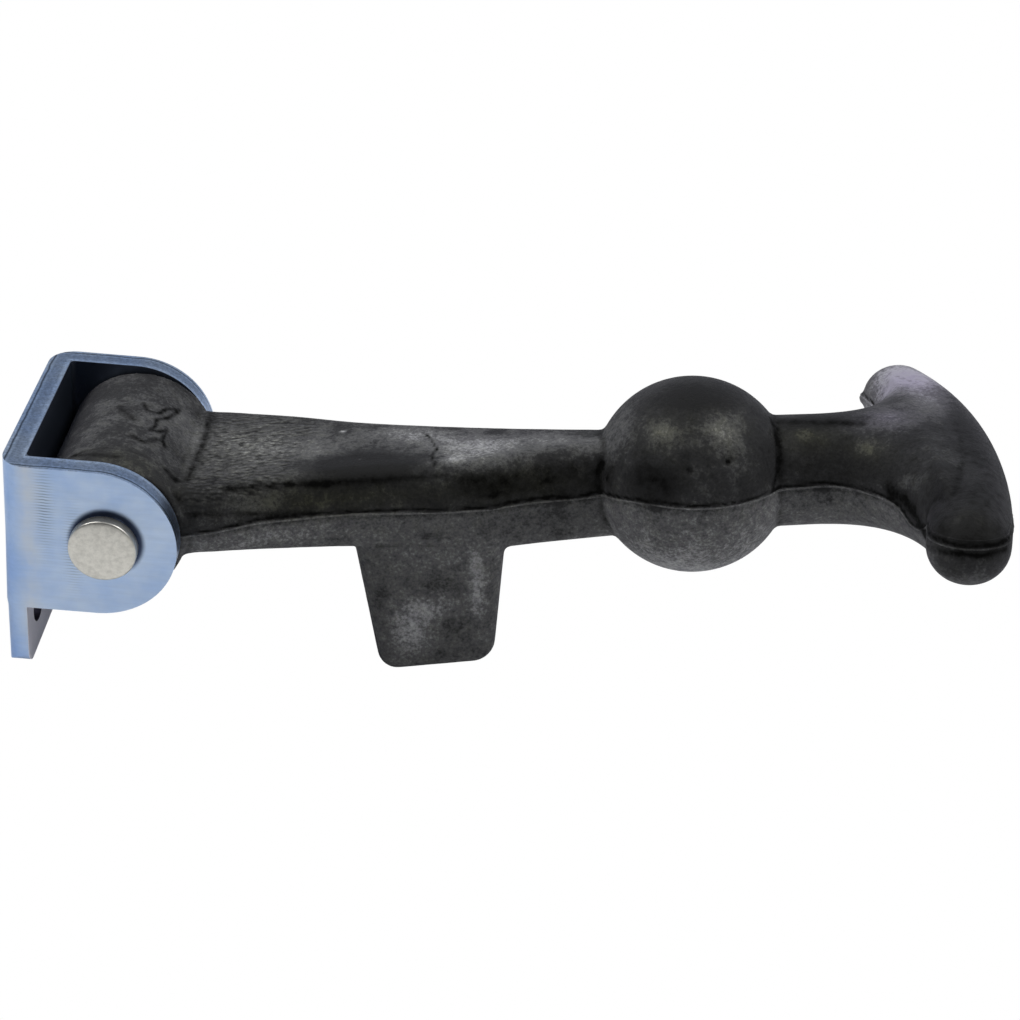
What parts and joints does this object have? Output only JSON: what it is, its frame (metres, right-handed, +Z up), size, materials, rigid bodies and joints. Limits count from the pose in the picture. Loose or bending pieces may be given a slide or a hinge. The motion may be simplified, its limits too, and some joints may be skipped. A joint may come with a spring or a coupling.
{
  "type": "rubber hood latch",
  "caption": "Rubber draw latch for a hood: folded steel bracket, riveted hinge, and a moulded arm with lug, ball and T handle.",
  "frame": {"origin": "on the bracket's mounting face, at the height of the rivet's axis, half way between the two ears", "axes": "+X points away from the mounting face, the way the arm reaches out; Y runs along the rivet, with the rivet's head at -Y; +Z is up, away from the mounting flange"},
  "size_m": [0.1552, 0.0778, 0.0536],
  "materials": {
    "zinc_plated_steel": "bright blue-white zinc plating, satin",
    "rivet_steel": "plain bright zinc, lightly mottled",
    "tube_steel": "drawn tube, plain",
    "black_rubber": "matt moulded rubber with a grey bloom"
  },
  "bodies": {
    "mounting_bracket": {"bracket": "zinc_plated_steel", "pivot_rivet": "rivet_steel"},
    "latch_arm": {"rubber_arm": "black_rubber", "spacer_tube": "tube_steel"}
  },
  "joints": [
    {"name": "arm_hinge", "type": "hinge", "parent": "mounting_bracket", "child": "latch_arm", "pos_m": [0.016, 0, 0], "axis": [0, -1, 0], "range_deg": [-76, 83]}
  ]
}
